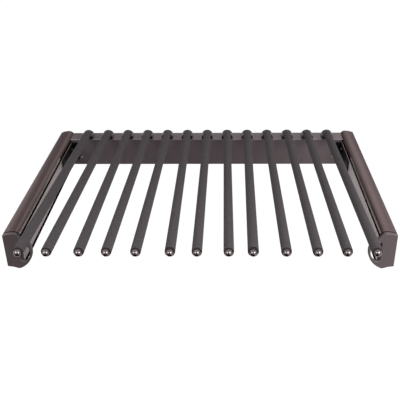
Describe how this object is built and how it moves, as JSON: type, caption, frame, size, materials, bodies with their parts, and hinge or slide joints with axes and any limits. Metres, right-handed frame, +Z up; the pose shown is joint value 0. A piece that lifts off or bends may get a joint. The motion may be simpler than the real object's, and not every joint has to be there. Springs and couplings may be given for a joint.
{
  "type": "pull-out trouser rack",
  "caption": "Wardrobe pull-out rack: sloping soft-sleeved bars cantilevered from a back rail between two covered telescopic runners, for hanging folded trousers.",
  "frame": {"origin": "mid-width of the wardrobe bay, on the runners' centre line, at the front ends of the fixed runners", "axes": "+X across the bay to the right, +Y to the rear of the wardrobe, +Z up; the rack pulls out along -Y"},
  "size_m": [0.564, 0.4839, 0.1007],
  "materials": {
    "bronze_aluminium": "dark bronze anodised, satin",
    "bronze_paint": "dark bronze lacquer, satin",
    "soft_sleeve": "matt, fine grained",
    "core_steel": "drawn",
    "black_gloss": "gloss",
    "dark_chrome": "polished",
    "black_trim": "satin",
    "black_steel": "black, satin",
    "zinc_steel": "bright zinc plated",
    "acetal": "moulded",
    "buffer_rubber": "matt"
  },
  "bodies": {
    "wall_runners": {"left_outer_member": "zinc_steel", "left_outer_guide": "acetal", "left_rear_buffer": "buffer_rubber", "right_outer_member": "zinc_steel", "right_outer_guide": "acetal", "right_rear_buffer": "buffer_rubber"},
    "rack": {"bar_sleeve_01": "soft_sleeve", "bar_sleeve_02": "soft_sleeve", "bar_sleeve_03": "soft_sleeve", "bar_sleeve_04": "soft_sleeve", "bar_sleeve_05": "soft_sleeve", "bar_sleeve_06": "soft_sleeve", "bar_sleeve_07": "soft_sleeve", "bar_sleeve_08": "soft_sleeve", "bar_sleeve_09": "soft_sleeve", "bar_sleeve_10": "soft_sleeve", "bar_sleeve_11": "soft_sleeve", "bar_sleeve_12": "soft_sleeve", "bar_sleeve_13": "soft_sleeve", "bar_core_01": "core_steel", "bar_core_02": "core_steel", "bar_core_03": "core_steel", "bar_core_04": "core_steel", "bar_core_05": "core_steel", "bar_core_06": "core_steel", "bar_core_07": "core_steel", "bar_core_08": "core_steel", "bar_core_09": "core_steel", "bar_core_10": "core_steel", "bar_core_11": "core_steel", "bar_core_12": "core_steel", "bar_core_13": "core_steel", "bar_seats": "black_gloss", "bar_end_caps": "dark_chrome", "back_rail": "bronze_paint", "left_cover": "bronze_aluminium", "left_end_plate": "bronze_paint", "left_side_rail": "bronze_aluminium", "left_groove_seal": "black_trim", "left_edge_strip": "black_trim", "left_corner_bracket": "black_steel", "left_inner_member": "zinc_steel", "left_inner_shoe": "acetal", "right_cover": "bronze_aluminium", "right_end_plate": "bronze_paint", "right_side_rail": "bronze_aluminium", "right_groove_seal": "black_trim", "right_edge_strip": "black_trim", "right_corner_bracket": "black_steel", "right_inner_member": "zinc_steel", "right_inner_shoe": "acetal"},
    "left_middle": {"left_middle_member": "zinc_steel", "left_middle_shoe": "acetal", "left_middle_guide": "acetal"},
    "right_middle": {"right_middle_member": "zinc_steel", "right_middle_shoe": "acetal", "right_middle_guide": "acetal"}
  },
  "joints": [
    {"name": "rack_slide", "type": "slide", "parent": "wall_runners", "child": "rack", "axis": [0, -1, 0], "range_m": [0, 0.35]},
    {"name": "left_middle_slide", "type": "slide", "parent": "wall_runners", "child": "left_middle", "axis": [0, -1, 0], "range_m": [0, 0.175]},
    {"name": "right_middle_slide", "type": "slide", "parent": "wall_runners", "child": "right_middle", "axis": [0, -1, 0], "range_m": [0, 0.175]}
  ],
  "couplings": [
    {"joint": "left_middle_slide", "follows": "rack_slide", "ratio": 0.5},
    {"joint": "right_middle_slide", "follows": "rack_slide", "ratio": 0.5}
  ]
}
